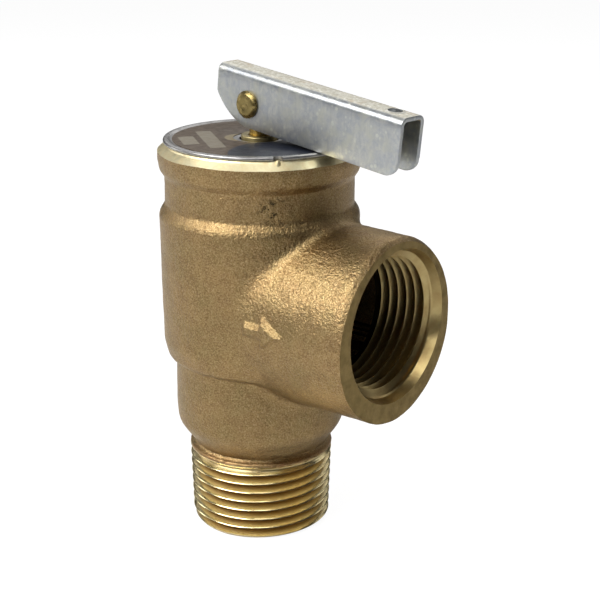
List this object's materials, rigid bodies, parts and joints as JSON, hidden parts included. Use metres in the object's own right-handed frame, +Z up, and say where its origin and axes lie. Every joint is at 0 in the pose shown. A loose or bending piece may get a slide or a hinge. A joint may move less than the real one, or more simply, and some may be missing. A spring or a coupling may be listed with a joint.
{
  "type": "pressure relief valve",
  "caption": "Bronze angle relief valve: threaded male inlet below, threaded side outlet, staked steel cap and a folded sheet lifting lever on top.",
  "frame": {"origin": "centre of the inlet's end face, on the stem's axis", "axes": "+Z up the stem's axis from the inlet to the lever, +X out of the outlet's mouth, +Y to the outlet's left"},
  "size_m": [0.0534, 0.0368, 0.0863],
  "materials": {
    "cast_bronze": "sand-cast and blasted, machined at its threads, outlet face and top edge",
    "turned_brass": "turned, bright",
    "zinc_sheet": "zinc plated sheet steel, mottled",
    "plate_steel": "stamped, satin",
    "spring_steel": "smooth wire",
    "label_film": "printed film, glossy",
    "disc_rubber": "moulded, matt",
    "black_rubber": "moulded, matt",
    "holder_coating": "black baked coating on brass",
    "gasket_fibre": "pressed fibre"
  },
  "bodies": {
    "valve_body": {"valve_body": "cast_bronze", "spring": "spring_steel", "upper_spring_washer": "plate_steel", "compression_screw": "turned_brass", "stem_o_ring": "black_rubber", "lock_ring": "turned_brass", "cap_gasket": "gasket_fibre", "cap_plate": "plate_steel", "cap_label": "label_film"},
    "disc_group": {"disc_holder": "holder_coating", "valve_disc": "disc_rubber", "disc_backing_washer": "plate_steel", "disc_retaining_ring": "spring_steel", "lower_spring_washer": "plate_steel"},
    "stem_group": {"stem": "turned_brass", "stem_clip": "spring_steel"},
    "lever_group": {"lever": "zinc_sheet", "lever_rivet": "turned_brass", "rivet_washer": "turned_brass"}
  },
  "joints": [
    {"name": "disc_lift", "type": "slide", "parent": "valve_body", "child": "disc_group", "axis": [0, 0, 1], "range_m": [0, 0.00235], "stiffness_N_per_m": 12900, "springref_m": -0.004, "deforming": ["spring"]},
    {"name": "stem_swivel", "type": "hinge", "parent": "disc_group", "child": "stem_group", "pos_m": [0, 0, 0.0797], "axis": [0, 0, 1], "continuous": true},
    {"name": "lever_pivot", "type": "hinge", "parent": "stem_group", "child": "lever_group", "pos_m": [0, 0, 0.0797], "axis": [-0.0872, -0.9962, 0], "range_deg": [0, 90]}
  ],
  "couplings": [
    {"joint": "lever_pivot", "follows": "disc_lift", "rad_per_m": 666.67}
  ]
}
